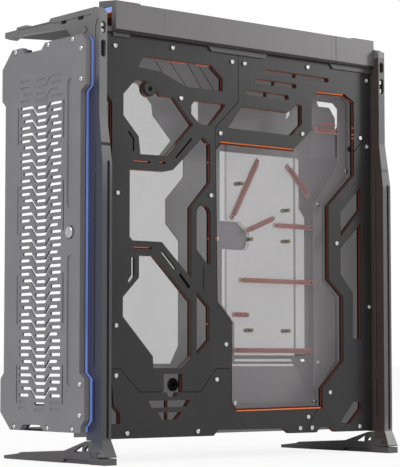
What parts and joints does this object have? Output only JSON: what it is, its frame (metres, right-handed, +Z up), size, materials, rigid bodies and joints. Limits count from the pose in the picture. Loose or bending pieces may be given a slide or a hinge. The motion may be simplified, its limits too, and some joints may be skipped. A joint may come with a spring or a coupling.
{
  "type": "computer case",
  "caption": "Full-tower computer case on two C-shaped end frames, with a slotted front panel, layered side plates with angular windows, a top rail with light bars and a push button.",
  "frame": {"origin": "centre of the case's outer box, on the surface that the feet stand on", "axes": "+Z up, -X towards the slotted front panel, -Y towards the dark side plates, +Y towards the side glass"},
  "size_m": [0.5566, 0.244, 0.6251],
  "materials": {
    "frame_metal": "satin anodised grey with a fine bead-blasted grain",
    "foot_metal": "satin anodised dark grey, rubbed along its lower edge",
    "arm_metal": "satin anodised grey",
    "rail_metal": "satin anodised grey, faint lengthwise grain",
    "front_metal": "satin anodised grey, fine bead-blasted grain",
    "blue_acrylic": "edge-lit blue acrylic with polished edges",
    "orange_acrylic": "edge-lit orange acrylic with polished edges",
    "black_metal": "satin black anodised with a soft sheen",
    "inner_black": "matt black powder coat",
    "tray_metal": "satin grey powder coat",
    "clear_acrylic": "frosted clear acrylic, polished edges",
    "cover_metal": "lightly brushed grey plate",
    "comb_acrylic": "pale orange-pink acrylic that takes up the light",
    "standoff_metal": "turned brass",
    "black_plastic": "black moulded plastic",
    "side_glass": "lightly tinted tempered glass, ground edges",
    "screw_steel": "bright turned steel, hex socket",
    "button_metal": "silver anodised, turned face"
  },
  "bodies": {
    "case": {"front_column": "frame_metal", "rear_column": "frame_metal", "front_foot": "foot_metal", "rear_foot": "foot_metal", "front_arm": "arm_metal", "rear_arm": "arm_metal", "front_panel": "front_metal", "front_glow_sheet": "blue_acrylic", "front_bulkhead": "inner_black", "side_plate_front": "black_metal", "side_plate_top": "black_metal", "side_plate_rear": "black_metal", "side_plate_bottom": "black_metal", "side_glow_sheet": "orange_acrylic", "spacer_posts": "inner_black", "tray": "tray_metal", "board_sheet": "clear_acrylic", "cover_plate": "cover_metal", "comb_upper_left": "comb_acrylic", "comb_upper_right": "comb_acrylic", "comb_middle_left": "comb_acrylic", "comb_middle_right": "comb_acrylic", "comb_long_upper": "comb_acrylic", "comb_short": "comb_acrylic", "comb_long_lower": "comb_acrylic", "comb_top": "comb_acrylic", "board_standoffs": "standoff_metal", "side_bush": "black_plastic", "tray_bush": "black_plastic", "rail_front": "rail_metal", "rail_middle": "rail_metal", "rail_rear": "rail_metal", "rail_blue_bar": "blue_acrylic", "rail_orange_bar": "orange_acrylic", "top_plate": "inner_black", "bottom_plate": "inner_black", "rear_panel": "inner_black", "slot_covers": "inner_black", "side_glass": "side_glass", "side_screws": "screw_steel", "post_screws": "screw_steel", "panel_screws": "screw_steel", "edge_screws": "screw_steel", "column_screws": "screw_steel", "board_screws": "screw_steel", "cover_screws": "screw_steel", "power_switch": "black_plastic"},
    "button": {"power_button": "button_metal"}
  },
  "joints": [
    {"name": "power_button_press", "type": "slide", "parent": "case", "child": "button", "axis": [1, 0, 0], "range_m": [0, 0.0015], "stiffness_N_per_m": 400}
  ]
}
